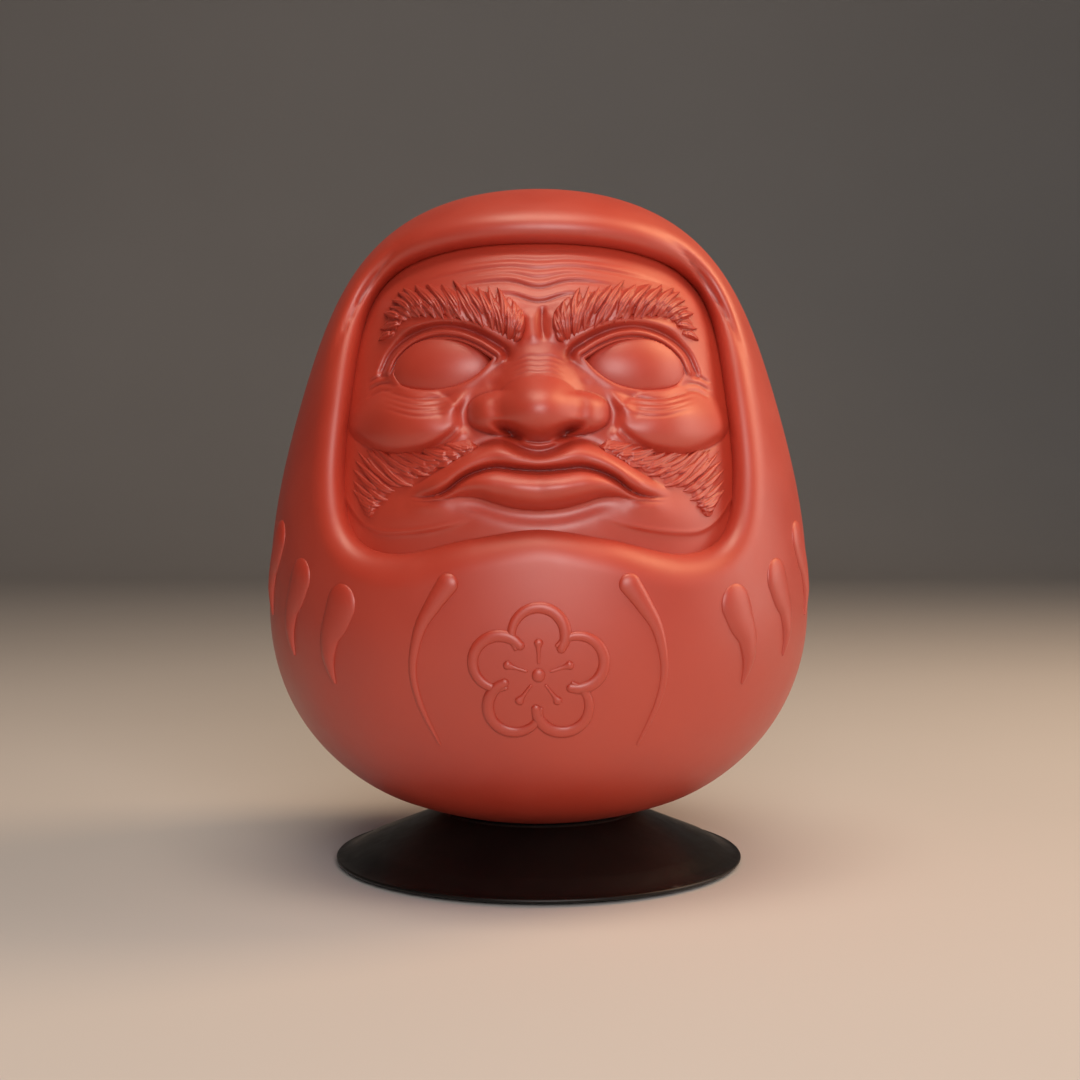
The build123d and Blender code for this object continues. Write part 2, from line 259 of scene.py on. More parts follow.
BESIDE_NOSE = [(1.9, (17, 105.2), (2.8, 4.2), 0)]
BAG_HEIGHT, BAG_MIDDLE, BAG_RADII, BAG_TILT = 6.4, (29.3, 104.6), (13.6, 7.9), 2
BAG_CRISP, BAG_SOFTENING = 0.58, 0.7  # the fullness at the bag's lower edge, and how much it grows above
CHEEK_LINES = [
    (
        [(16.6, 103.8), (18.4, 100.9), (22.7, 98.2), (28, 97.0), (33.2, 97.0), (38, 99.2), (42, 102.5)],
        0.9, -1.2, 0.16,
    ),
    ([(14.6, 103.2), (17.0, 100.4), (21.0, 98.3)], 1.1, 0.9, 0.3),
    ([(7.2, 113.8), (10.3, 111.9), (14.2, 109.9), (17.4, 107.8), (21.5, 105.4)], 1.9, 2.5, 0.3),
]

BRIDGE_HEIGHT, BRIDGE_WIDTH, BRIDGE_SPREAD = 7.2, 6.4, 2.2
WING_HEIGHT, WING_Z, WING_RADII = 8.8, 105.5, (15.1, 5.1)
WING_SQUARENESS = (3.4, 2.6)  # powers of a superellipse, across and up
BULB_HEIGHT, BULB_MIDDLE, BULB_RADII = 12.4, (0, 106.4), (9.2, 7.3)
WING_CREASE = (
    [(7.0, 112.0), (10.5, 111.6), (13.9, 110.0), (15.9, 106.6), (15.6, 103.0), (13.4, 100.4)], 1.3, -1.2, 0.2
)
BULB_CREASE = ([(8.9, 110.2), (9.0, 106.0), (7.6, 102.6)], 1.7, -0.8, 0.4)
UNDER_NOSE = ([(-1, 98.5), (0, 98.45), (2.3, 98.9), (4.2, 100.0)], 0.7, 1.0, 0.2)
NOSTRIL = [(-6.5, (6.3, 101.7), (2.7, 1.05), 20)]

LIP_TOP = [(0, 97.0), (3.5, 97.9), (7.9, 99.7), (12, 98.8), (17, 96.0), (21, 93.4), (25, 91.0), (29, 88.9)]
LIP_LINE = [
    (0, 93.2), (4.5, 93.5), (9, 93.9), (13, 93.0), (16.3, 91.4), (18.8, 89.5), (21.4, 88.2), (25, 87.7),
    (29, 87.9),
]
LIP_BOTTOM = [
    (0, 85.1), (5, 85.5), (9, 86.5), (12.5, 87.6), (16, 87.9), (20, 87.3), (25, 86.9), (29, 87.2),
]
LIP_HEIGHT, LIP_END_HEIGHT, THINNEST_LIP = 3.2, 0.9, 0.8
LIP_FORMS = [
    (0.5, (7.2, 96.9), (3.2, 1.8), 20),
    (0.4, (4.8, 90.0), (3.4, 2.6), 0),
    (-0.3, (0, 90.5), (1.5, 3.0), 0),
]
# grooves along the lips: line, depth, how far above the line, width, the x where they end, fade
LIP_GROOVES = [
    (LIP_TOP, 0.7, 0.25, 0.95, 19, 7),
    (LIP_LINE, 1.4, 0, 0.8, 27.5, 8),
    (LIP_BOTTOM, 1.4, -1.1, 1.9, 20, 9),
]
MOUTH_CORNER = ([(17, 85.4), (22.7, 86.0), (29, 86.4)], 1.5, 0.5, 0.4)
JAW = [(12, 83.4), (19, 81.6), (27, 80.2), (34, 80.1), (38.6, 82.4), (42, 86.5), (46, 93)]
JAW_STEP, JAW_BEAD = 0.9, 0.5

CENTRE_ROUND = 1.0  # the two halves of the face meet in a curve of this size
# forehead wrinkles: height in the middle, how far they dip there, reach to each side, strength
FOREHEAD = [
    (141.3, 0.3, 13, 0.25),
    (139.3, 0.6, 15, 0.5),
    (137.1, 0.9, 24, 0.65),
    (134.9, 1.5, 14, 0.45),
    (132.6, 2.1, 16, 0.8),
    (129.4, 2.2, 8, 0.8),
]
DIP_WIDTH, ARCH, ARCH_REACH = 4.6, 1.6, 20
NOSE_ROOT_Z, NOSE_ROOT_PITCH = 117.2, 1.15
CORNER_Z, CORNER_PITCH = 114.0, 1.5  # wrinkles at the eye's outer corner
BAG_WRINKLE = [(17.5, 109.8), (21, 108.9), (27, 108.8), (35.5, 111.4)]
BAG_WRINKLE_PITCH = 1.25
# the only lopsided lines: the folds between the brows, on both sides of x = 0
BROW_FOLDS = [
    ([(0.9, 129.2), (0.7, 124.4), (1.4, 120.4)], 0.70, -0.95, 0.3),
    ([(-1.6, 128.4), (-1.4, 123.4), (-1.0, 119.6)], 1.40, 0.7, 0.3),
    ([(3.0, 127.8), (3.1, 123.4), (2.9, 120.2)], 1.10, 0.6, 0.3),
    ([(-3.7, 127.8), (-3.5, 123.5), (-5.0, 119.2)], 0.75, -0.5, 0.3),
    ([(4.9, 127.2), (4.7, 123.2), (5.8, 119.0)], 0.75, -0.45, 0.3),
]


def forms(x, z, hills):
    return sum(height * hill(x, z, *shape) for height, *shape in hills)


def ridges(x, z, lines):
    return sum(ridge(x, z, *line) for line in lines)


def height_of(line, x):
    """The line's z at each x. A line that starts in the middle runs level through it."""
    if line[0][0] == 0:
        line = [(-line[1][0], line[1][1])] + line
    curve = smooth_through(line, 12)
    return np.interp(x, curve[:, 0], curve[:, 1])


def eye_distance(x, z):
    """Distance outside the eye's outline, negative inside it, and how much it is above the eye."""
    loop = np.vstack([smooth_through(EYE_UPPER, 6), smooth_through(EYE_LOWER, 6)[::-1]])
    distance, _, _ = nearest(x, z, loop)
    upper, lower = height_of(EYE_UPPER, x), height_of(EYE_LOWER, x)
    inside = (z < upper) & (z > lower) & (x > EYE_UPPER[0][0]) & (x < EYE_UPPER[-1][0])
    tilted_middle = EYE_MIDDLE[1] - EYE_SLANT * (x - EYE_MIDDLE[0])
    return np.where(inside, -distance, distance), ease((z - tilted_middle) / 3 + 0.5)


def broad_forms(x, z):
    return forms(x, z, BROAD_FORMS) + forms(x, z, BROW_FORMS) * ease(x / BROW_FULL_AT)


CUSHION_EDGE = 1.2  # a cushion counts in full from this height


def raise_to(h, target, cushion, softness):
    """Raises the relief to a target, and only where the cushion stands above nothing."""
    return h + (smooth_max(h, target, softness) - h) * ease(cushion / CUSHION_EDGE)


def cheeks(x, z, h):
    """The puffy bag, crisp below and soft above, and the ridge from the eye's inner corner."""
    h = h + forms(x, z, BESIDE_NOSE)
    fullness = BAG_CRISP + BAG_SOFTENING * ease((z - 101) / 9)
    bag = BAG_HEIGHT * dome(x, z, BAG_MIDDLE, BAG_RADII, BAG_TILT, fullness)
    h = raise_to(h, 0.35 * h + bag, bag, 1.4)
    return h + ridges(x, z, CHEEK_LINES)


def nose(x, z, h):
    """The bridge, which fades between the brows, then the two wings, the bulb and the nostrils."""
    width = BRIDGE_WIDTH + BRIDGE_SPREAD * ease((116.5 - z) / 6)
    lower_upwards = 1 - 0.72 * ease((z - 107) / 15)
    bridge = BRIDGE_HEIGHT * np.exp(-((x / width) ** 3)) * ease((z - 103) / 5) * lower_upwards
    bridge *= ease((133 - z) / 13)
    h = smooth_max(h, 0.4 * h + bridge, 2.0)
    h += ridge(x, z, *WING_CREASE)
    across, up = x / WING_RADII[0], np.abs(z - WING_Z) / WING_RADII[1]
    inside = 1 - across ** WING_SQUARENESS[0] - up ** WING_SQUARENESS[1]
    wings = WING_HEIGHT * np.maximum(inside, 0) ** 0.5
    h = raise_to(h, wings, wings, 1.2)
    h = smooth_max(h, BULB_HEIGHT * dome(x, z, BULB_MIDDLE, BULB_RADII, 0, 0.6), 3.2)
    return h + ridges(x, z, [BULB_CREASE, UNDER_NOSE]) + forms(x, z, NOSTRIL)


def lip(z, low, high, squareness):
    """A roll of height one between two lines."""
    across = np.clip((z - low) / np.maximum(high - low, THINNEST_LIP), 0, 1)
    return np.sin(math.pi * across) ** squareness


def mouth(x, z, h):
    top, line, bottom = (height_of(points, x) for points in (LIP_TOP, LIP_LINE, LIP_BOTTOM))
    corner = ease((28.5 - x) / 8)
    h += LIP_HEIGHT * lip(z, line, top, 0.75) * corner
    h += lip(z, bottom, line, 0.7) * (LIP_END_HEIGHT * corner + LIP_HEIGHT * ease((21 - x) / 12))
    for points, depth, above, width, end, fade in LIP_GROOVES:
        h -= depth * crest(z - height_of(points, x) - above, width) * ease((end - x) / fade)
    return h + forms(x, z, LIP_FORMS) + ridge(x, z, *MOUTH_CORNER)


def eyelids(x, z, h):
    """A thin lid, a round fold over it, and a deep crease under the edge of the brow bone."""
    distance, above = eye_distance(x, z)
    h += ridge(x, z, *BROW_BONE)
    for height, place, width in LID_ROLLS:
        h += height * above * crest(distance - place, width)
    height, place, width = LOWER_LID_ROLL
    h += height * (1 - above) * crest(distance - place, width)
    return h - EYE_HOLE_DEPTH * ease(0.2 - distance / 0.5)


def wrinkles(x, z, h):
    """Wrinkles of the forehead, the nose's root, the eye's outer corner and the bag."""
    for middle, dip, reach, strength in FOREHEAD:
        bend = middle + dip * (1 - crest(x, DIP_WIDTH)) - ARCH * (x / ARCH_REACH) ** 2
        fade = strength * np.exp(-((x / reach) ** 4))
        h += 0.50 * crest(z - bend - 1.0, 0.9) * fade
        h -= 0.60 * crest(z - bend, 0.55) * fade
    for k in range(4):
        middle = NOSE_ROOT_Z - NOSE_ROOT_PITCH * k
        line = [(0, middle), (2.6, middle + 0.25), (5.6, middle - 0.8)]
        h -= 0.30 * crest(z - height_of(line, x), 0.42) * ease((6.6 - x) / 3)
    for k in range(3):
        start = CORNER_Z - CORNER_PITCH * k
        line = [(32.0 - 0.5 * k, start), (35, start + 0.3 - 0.3 * k), (38.5, start - 1.2 - 0.4 * k)]
        h -= ridge(x, z, line, 0.42, 0.6, 0.3)
    for k in range(4):
        line = [(px, pz - BAG_WRINKLE_PITCH * k) for px, pz in BAG_WRINKLE]
        h -= ridge(x, z, line, 0.4, 0.5 - 0.07 * k, 0.35)
    return h


def jaw_ledge(x, z, h):
    """The face drops a little below the jaw, which has a fine bead along it."""
    jaw = height_of(JAW, x)
    h -= JAW_STEP * ease((jaw - z) / 1.2 + 0.5) * ease((x - 12) / 10)
    return h + JAW_BEAD * crest(z - jaw, 0.8) * ease((x - 14) / 10)


def face_relief(x, z):
    """The finished face without its hair."""
    side = np.hypot(x, CENTRE_ROUND)
    h = broad_forms(side, z)
    for add_feature in (cheeks, jaw_ledge, mouth, nose, wrinkles):
        h = add_feature(side, z, h)
    h += ridges(x, z, BROW_FOLDS)
    return eyelids(side, z, h)


EYE_STANDS_OUT, EYE_BALL_DEPTH, EYE_BALL_RADII, EYE_BALL_TILT = 2.3, 9.0, (12.6, 9.6), -6
EYE_SLOPE_OUT, EYE_SLOPE_UP = 0.31, 0.2


def eye_relief(x, z):
    """A smooth, blank ball behind the lids, turned a little less than the face around it."""
    x = np.abs(x)
    middle_x, middle_z = EYE_MIDDLE
    middle = front_depth(np.array(middle_x), np.array(middle_z), MASK) + EYE_STANDS_OUT
    ball = EYE_BALL_DEPTH * (dome(x, z, EYE_MIDDLE, EYE_BALL_RADII, EYE_BALL_TILT) - 1)
    slope = EYE_SLOPE_OUT * (x - middle_x) + EYE_SLOPE_UP * (z - middle_z)
    return middle + ball - slope - front_depth(x, z, MASK)


# ---- hair ---------------------------------------------------------------------------------------
BROW_ROOTS = [
    (5.4, 120.6), (6.0, 121.0), (7.2, 121.6), (9, 122.6), (12, 123.8), (16, 125.0),
    (20, 125.8), (24, 126.5), (27.6, 126.9), (30.0, 125.9), (31.6, 123.4),
]
BROW_TIPS = [
    (3.3, 124.6), (4.2, 128.6), (8.2, 131.6), (12.4, 133.0), (16.8, 133.9), (21.5, 134.6),
    (26.2, 134.9), (30.4, 133.7), (33.2, 131.2), (35.2, 126.6), (35.8, 120.8),
]
MOUSTACHE_ROOTS = [
    (11.8, 99.0), (15, 97.9), (19, 96.0), (22.4, 93.2), (27, 90.6), (31, 88.5), (33.5, 86.4), (35.2, 84.6),
]
MOUSTACHE_TIPS = [
    (16.5, 99.6), (21.8, 98.5), (27.5, 97.2), (33.5, 97.6), (38.4, 98.2), (40.4, 94.2), (40.6, 89.4),
    (37.6, 85.4),
]
# rows of locks: how many, where they start and end between roots and tips, width and height factors
HAIR_ROWS = [
    (15, -0.08, 0.94, 1.7, 0.45),  # a wide flat undercoat
    (19, -0.08, 0.90, 0.8, 0.9),
    (17, 0.12, 1.05, 0.8, 1.1),
]
NO_HAIR = -3.0  # height where there is no lock, well below the face
LOCK_WIDENS_BY, LOCK_NARROWS_BY = 0.35, 0.45  # shares of a lock's length at its root and its tip
ROOT_SINK, TIP_LIFT = 1.2, 0.3  # how far a root starts below, and a tip ends above, the lock's base
COMB_DEPTH, COMB_RATE = 0.10, 8.0  # fine grooves along a lock


def along(line, u):
    """The point a share u of the way along a line of evenly spaced points."""
    place = np.clip(u, 0, 1) * (len(line) - 1)
    return np.array([np.interp(place, range(len(line)), line[:, axis]) for axis in (0, 1)])


def add_lock(field, x, z, line, width, height):
    """Lays one pointed lock of hair over the field wherever it stands higher."""
    low, high = line.min(axis=0) - width, line.max(axis=0) + width
    columns = slice(*np.searchsorted(x[0], (low[0], high[0])))
    rows = slice(*np.searchsorted(z[:, 0], (low[1], high[1])))
    window_x, window_z = x[rows, columns], z[rows, columns]
    if window_x.size == 0:
        return
    distance, place, side = nearest(window_x, window_z, line)
    widening = np.minimum(place / LOCK_WIDENS_BY, 1) ** 0.9
    taper = widening * np.minimum((1 - place) / LOCK_NARROWS_BY, 1) ** 0.65
    across = distance / np.maximum(width * taper, 1e-3)
    round_top = np.sqrt(np.maximum(1 - across**2, 0)) * taper**0.5
    combed = 1 - COMB_DEPTH * np.cos(across * side * COMB_RATE) * taper
    sunk = ROOT_SINK * (1 - ease(place / LOCK_WIDENS_BY))
    lock = height * round_top * combed + TIP_LIFT * place - sunk
    window = field[rows, columns]
    field[rows, columns] = np.where(across < 1, np.maximum(window, lock), window)


def hair_relief(x, z, roots, tips, bend, width, height, growth, seed):
    """Rows of overlapping locks from a line of roots to a line of tips.

    The locks bend sideways by a share of their length, and grow by the given share along the line.
    """
    draw = np.random.default_rng(seed)
    roots, tips = smooth_through(roots), smooth_through(tips)
    field = np.full(x.shape, NO_HAIR)
    for count, start, end, wider, higher in HAIR_ROWS:
        for k in range(count):
            u = (k + draw.uniform(0.28, 0.72)) / count
            root, reach = along(roots, u), along(tips, u) - along(roots, u)
            first = root + reach * (start + draw.uniform(-0.04, 0.04))
            last = root + reach * (end + draw.uniform(-0.08, 0.05))
            run = last - first
            sideways = np.array([run[1], -run[0]])
            low_bend, high_bend = bend + draw.uniform(-0.05, 0.12), bend * draw.uniform(-0.6, 1.0)
            bends = [first + run * 0.35 + sideways * low_bend, first + run * 0.72 + sideways * high_bend]
            line = bezier([first, *bends, last], np.linspace(0, 1, 11))
            scale = draw.uniform(0.75, 1.2)
            size = height * higher * scale * (1 - growth * (1 - u))
            add_lock(field, x, z, line, width * wider * scale, size)
    return field


def brow_relief(x, z):
    shape = dict(bend=-0.16, width=1.15, height=2.1, growth=0.0, seed=4)
    hair = hair_relief(x, z, BROW_ROOTS, BROW_TIPS, **shape)
    return hair + broad_forms(x, z) + ridge(x, z, *BROW_BONE) + 0.6


def moustache_relief(x, z):
    shape = dict(bend=0.20, width=0.95, height=1.7, growth=0.35, seed=9)
    hair = hair_relief(x, z, MOUSTACHE_ROOTS, MOUSTACHE_TIPS, **shape)
    return hair + broad_forms(x, z) + 0.5


# ---- meshes -------------------------------------------------------------------------------------
def add_piece(name, points, faces, material, body="doll", slot="doll_red", stands_for=None):
    """A smooth mesh from millimetre points that rides on a body and stands for CAD nodes."""
    mesh = bpy.data.meshes.new(name)
    mesh.from_pydata((np.asarray(points) * MM).tolist(), [], [list(map(int, f)) for f in faces])
    shape = bmesh.new()
    shape.from_mesh(mesh)
    bmesh.ops.recalc_face_normals(shape, faces=shape.faces)
    shape.to_mesh(mesh)
    shape.free()
    mesh.polygons.foreach_set("use_smooth", [True] * len(mesh.polygons))
    piece = bpy.data.objects.new(name, mesh)
    bpy.context.scene.collection.objects.link(piece)
    mesh.materials.append(material)
    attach(piece, body)
    if stands_for:
        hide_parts(*stands_for)
    return piece


def grid_faces(rows, columns):
    """Quads of a grid of points whose columns close on themselves."""
    row, column = np.meshgrid(np.arange(rows - 1), np.arange(columns), indexing="ij")
    ahead = (column + 1) % columns
    here, above = row * columns, (row + 1) * columns
    corners = [here + column, here + ahead, above + ahead, above + column]
    return np.stack([c.ravel() for c in corners], axis=1)


def lathe_faces(rings, turns, closed_rows):
    """Quads between closed rings, and between the last and the first when the rows close too."""
    faces = grid_faces(rings, turns).tolist()
    if closed_rows:
        last, following = (rings - 1) * turns, np.roll(np.arange(turns), -1)
        faces += [(last + i, last + j, j, i) for i, j in enumerate(following.tolist())]
    return faces


def ring_piece(name, rings, material, poles=None, **how):
    """A surface through closed rings. It closes on itself, or ends in two pole points."""
    rings = np.asarray(rings)
    count, turns = rings.shape[:2]
    points = rings.reshape(-1, 3)
    faces = lathe_faces(count, turns, poles is None)
    if poles is not None:
        points = np.vstack([points, poles])
        first, last, start = len(points) - 2, len(points) - 1, (count - 1) * turns
        faces += [(first, (i + 1) % turns, i) for i in range(turns)]
        faces += [(last, start + i, start + (i + 1) % turns) for i in range(turns)]
    return add_piece(name, points, faces, material, **how)


def relief_piece(name, relief, inside, x_range, z_range, step, thickness, material, mirrored=False, **how):
    """A closed slab whose front is a relief; only the cells inside are kept."""
    xs, zs = np.arange(*x_range, step), np.arange(*z_range, step)
    x, z = np.meshgrid(xs, zs)
    height = relief(x, z)
    kept = inside(x, z, height)
    cells = kept[:-1, :-1] & kept[1:, :-1] & kept[1:, 1:] & kept[:-1, 1:]
    index = np.arange(x.size).reshape(x.shape)
    a, b, c, d = (part[cells] for part in (index[:-1, :-1], index[:-1, 1:], index[1:, 1:], index[1:, :-1]))
    front = np.stack([a, b, c, d], axis=1)
    used = np.unique(front)
    renumber = np.full(x.size, -1)
    renumber[used] = np.arange(used.size)
    front = renumber[front]
    flip = -1 if mirrored else 1
    if mirrored:
        front = front[:, ::-1]
    plain = front_depth(x, z, MASK)
    px, pz = flip * x.ravel()[used], z.ravel()[used]
    front_y = -(plain + height).ravel()[used]
    back_y = -(plain + np.minimum(height, 0) - thickness).ravel()[used]
    points = np.vstack([np.c_[px, front_y, pz], np.c_[px, back_y, pz]])
    edges = {}
    for quad in front.tolist():
        for p, q in zip(quad, quad[1:] + quad[:1]):
            if (q, p) in edges:
                del edges[(q, p)]
            else:
                edges[(p, q)] = True
    walls = [(q, p, p + used.size, q + used.size) for p, q in edges]
    faces = front.tolist() + (front[:, ::-1] + used.size).tolist() + walls
    return add_piece(name, points, faces, material, **how)


# ---- shells -------------------------------------------------------------------------------------
SEAM_DEPTH, SEAM_WIDTH = 0.22, 0.28
SEAM_STEPS = np.radians([0, 0.12, 0.25, 0.45, 0.8, 1.5, 2.6, 4.0])  # rings next to the seam
ROLL_STEPS = 16
SIDE_STEPS = 60
LIP_UNDER = (2.4, 8.6)  # the rim's underside: how far outwards, and how deep below the surface
FARTHEST = 140.0  # farther from the middle than any point of the doll


def ray_hits(directions):
    """Where rays from the middle of the doll meet the body's surface."""
    low, high = np.zeros(len(directions)), np.full(len(directions), FARTHEST)
    for _ in range(36):
        half = (low + high) / 2
        around = np.hypot(directions[:, 0], directions[:, 1]) * half
        z = MIDDLE_Z + directions[:, 2] * half
        inside = (around < radius_at(BODY, z)) & (z > FOOT_Z) & (z < FOOT_Z + DOLL_HEIGHT)
        low, high = np.where(inside, half, low), np.where(inside, high, half)
    return directions * low[:, None] + (0, 0, MIDDLE_Z)


def ring_at(turns, swings, inset):
    """A ring on the body: turns go round the view axis, swings open from the front to the back."""
    across = np.sin(swings)
    hits = ray_hits(np.stack([across * np.cos(turns), -np.cos(swings), across * np.sin(turns)], axis=1))
    seam_dip = SEAM_DEPTH * np.exp(-((hits[:, 1] / SEAM_WIDTH) ** 2))
    return hits - normal_at(*hits.T) * (inset + seam_dip)[:, None]


def edge_ring(outwards, inset):
    """A ring beside the opening: moved outwards in the front view, and sunk below the surface."""
    ahead = np.roll(EDGE, -1, axis=0) - np.roll(EDGE, 1, axis=0)
    normals = np.stack([-ahead[:, 1], ahead[:, 0]], axis=1) / np.linalg.norm(ahead, axis=1)[:, None]
    spots = EDGE + normals * outwards
    outer, inner = (front_depth(spots[:, 0], spots[:, 1], line) for line in (BODY, MASK))
    depth = outer + (inner - outer) * inset / MASK_INSET
    return np.stack([spots[:, 0], -depth, spots[:, 1]], axis=1)


def ring_angles(ring):
    """The turn and swing of each point of a ring, seen from the doll's middle."""
    rise = ring - (0, 0, MIDDLE_Z)
    turns = np.arctan2(rise[:, 2], rise[:, 0])
    return turns, np.arccos(-rise[:, 1] / np.linalg.norm(rise, axis=1))


def front_shell(material):
    roll = np.linspace(0, math.pi / 2, ROLL_STEPS)
    rolled = [edge_ring(RIM_ROLL * (1 - math.cos(a)), MASK_INSET * (1 - math.sin(a))) for a in roll]
    turns, swings = ring_angles(rolled[-1])
    shares = np.linspace(0, 1, SIDE_STEPS)[1:]
    near_seam = math.pi / 2 - SEAM_STEPS[::-1]
    outer = [ring_at(turns, swings + (near_seam[0] - swings) * share, 0) for share in shares]
    outer += [ring_at(turns, np.full(len(turns), swing), 0) for swing in near_seam[1:]]
    lining = [ring_at(turns, swings + (math.pi / 2 - swings) * share, WALL) for share in shares[::-4]]
    under = [edge_ring(RIM_ROLL, WALL), edge_ring(*LIP_UNDER), edge_ring(0, LIP_UNDER[1])]
    rings = rolled + outer + lining + under
    return ring_piece("front_shell_skin", rings, material, stands_for=["front_shell"])


def rear_shell(material):
    turns, _ = ring_angles(edge_ring(RIM_ROLL, 0))
    seam = math.pi / 2 + SEAM_STEPS
    rest = np.linspace(seam[-1], math.radians(179.5), SIDE_STEPS)[1:]
    swings = np.r_[seam, rest]
    outer = [ring_at(turns, np.full(len(turns), swing), 0) for swing in swings[::-1]]
    lining = [ring_at(turns, np.full(len(turns), swing), WALL) for swing in swings[::3]]
    back = radius_at(BODY, MIDDLE_Z)
    poles = [(0, back, MIDDLE_Z), (0, back - WALL, MIDDLE_Z)]
    return ring_piece("rear_shell_skin", outer + lining, material, poles, stands_for=["rear_shell"])


# ---- face pieces --------------------------------------------------------------------------------
def opening_reach(x, z):
    """How far inside the opening's edge a point is, measured from the opening's middle."""
    middle = (OPENING[0][1] + OPENING[-1][1]) / 2
    turns = np.arctan2(EDGE[:, 1] - middle, EDGE[:, 0])
    reach = np.hypot(EDGE[:, 0], EDGE[:, 1] - middle)
    order = np.argsort(turns)
    here = np.interp(np.arctan2(z - middle, x), turns[order], reach[order], period=2 * math.pi)
    return here - np.hypot(x, z - middle)


MASK_UNDER_RIM = 2.6  # how far the mask reaches under the hood's rim


def face_pieces(material):
    mask_edge = -MASK_UNDER_RIM
    relief_piece(
        "face", face_relief, lambda x, z, h: opening_reach(x, z) > mask_edge,
        (-47, 47), (71, 148), FACE_STEP, WALL, material, stands_for=["face_mask"],
    )
    for side in ("left", "right"):
        mirrored = side == "left"
        relief_piece(
            f"{side}_eye_dome", eye_relief, lambda x, z, h: eye_distance(x, z)[0] < 0.8,
            (6, 36), (105, 127), FACE_STEP, 1.0, material, mirrored, stands_for=[f"{side}_eye"],
        )
        relief_piece(
            f"{side}_eyebrow_hair", brow_relief, lambda x, z, h: h > face_relief(x, z) - 0.3,
            (1, 40), (117, 139), HAIR_STEP, 0.8, material, mirrored, stands_for=[f"{side}_eyebrow"],
        )
        relief_piece(
            f"{side}_moustache_hair", moustache_relief, lambda x, z, h: h > face_relief(x, z) - 0.3,
            (12, 44), (82, 102), HAIR_STEP, 0.8, material, mirrored, stands_for=[f"{side}_moustache"],
        )


# ---- raised ornaments -----------------------------------------------------------------------------
ORNAMENT_HEIGHT, FULL_HEIGHT_RADIUS, SUNK = 1.15, 2.0, 0.5
SECTION_STEPS, END_STEPS = 13, 8
# each stroke follows a row of discs (x, z, radius); a teardrop's are measured from its own middle
BRACKET = [
    (18.7, 70.0, 2.3), (21.6, 65.8, 1.8), (24.6, 60.4, 1.25), (26.1, 52.5, 0.85), (24.8, 45.0, 0.65),
    (20.8, 35.8, 0.3),
]
TEARDROP = [
    (-2.3, 7.4, 4.4), (-0.6, 3.9, 4.0), (1.4, 0.6, 3.1), (2.4, -3.0, 2.3), (2.5, -6.4, 1.4),
    (1.9, -9.8, 0.45),
]
# place, turn about the axis in degrees, height
TEARDROPS = [("front", 43.0, 57.6), ("middle", 57.0, 62.6), ("rear", 70.5, 70.6)]
BLOSSOM_Z, PETAL_PITCH, PETAL_RADIUS, PETAL_OPEN = 51.5, 8.4, 5.5, 122
STAMEN = [(2.7, 0.35), (4.6, 0.42), (5.7, 0.6), (6.6, 1.0)]  # distance from the middle, half width


def stroke_mesh(discs, turn=0.0, mirrored=False):
    """A rounded raised stroke on the body whose half width follows a row of discs (x, z, radius)."""
    line = smooth_through(discs, 12)
    ahead = np.gradient(line[:, :2], axis=0)
    ahead /= np.linalg.norm(ahead, axis=1)[:, None]
    bends = np.linspace(math.radians(88), 0, END_STEPS, endpoint=False)
    spots = [line[0, :2] - ahead[0] * line[0, 2] * math.sin(a) for a in bends] + list(line[:, :2])
    spots += [line[-1, :2] + ahead[-1] * line[-1, 2] * math.sin(a) for a in bends[::-1]]
    shares = np.r_[np.cos(bends), np.ones(len(line)), np.cos(bends[::-1])]
    ends = [END_STEPS * [0], range(len(line)), END_STEPS * [-1]]
    picks = np.concatenate([np.array(e, int) for e in ends])
    radii, ahead = line[picks, 2], ahead[picks]
    spots = np.array(spots)
    sideways = np.stack([ahead[:, 1], -ahead[:, 0]], axis=1)
    angles = np.linspace(0, math.pi, SECTION_STEPS)
    across, rise = np.r_[np.cos(angles), -0.9, 0.9], np.r_[np.sin(angles), 0, 0]
    sink = np.r_[np.full(SECTION_STEPS, 0.12), SUNK, SUNK]
    top = ORNAMENT_HEIGHT * np.minimum(1, (radii / FULL_HEIGHT_RADIUS) ** 0.6) * shares
    flat = spots[:, None] + sideways[:, None] * (across[None] * (radii * shares)[:, None])[..., None]
    height = top[:, None] * rise[None] - sink[None]
    x, z = flat[..., 0], flat[..., 1]
    y = -front_depth(x, z, BODY)
    points = np.stack([x, y, z], axis=-1) + normal_at(x, y, z) * height[..., None]
    c, s = math.cos(math.radians(turn)), math.sin(math.radians(turn))
    x, y, z = np.moveaxis(points, -1, 0)
    points = np.stack([x * c - y * s, x * s + y * c, z], axis=-1)
    rings, turns = points.shape[:2]
    faces = lathe_faces(rings, turns, False)
    faces += [list(range(turns))[::-1], list(range((rings - 1) * turns, rings * turns))]
    points = points.reshape(-1, 3)
    if mirrored:
        points = points * (-1, 1, 1)
    else:
        faces = [face[::-1] for face in faces]
    return points, faces


def strokes_piece(name, strokes, material, **how):
    points, faces, start = [], [], 0
    for stroke_points, stroke_faces in strokes:
        points.append(stroke_points)
        faces += [[start + i for i in face] for face in stroke_faces]
        start += len(stroke_points)
    return add_piece(name, np.vstack(points), faces, material, **how)


def polar(radius, degrees, centre):
    angle = math.radians(degrees)
    return (centre[0] + radius * math.cos(angle), centre[1] + radius * math.sin(angle))


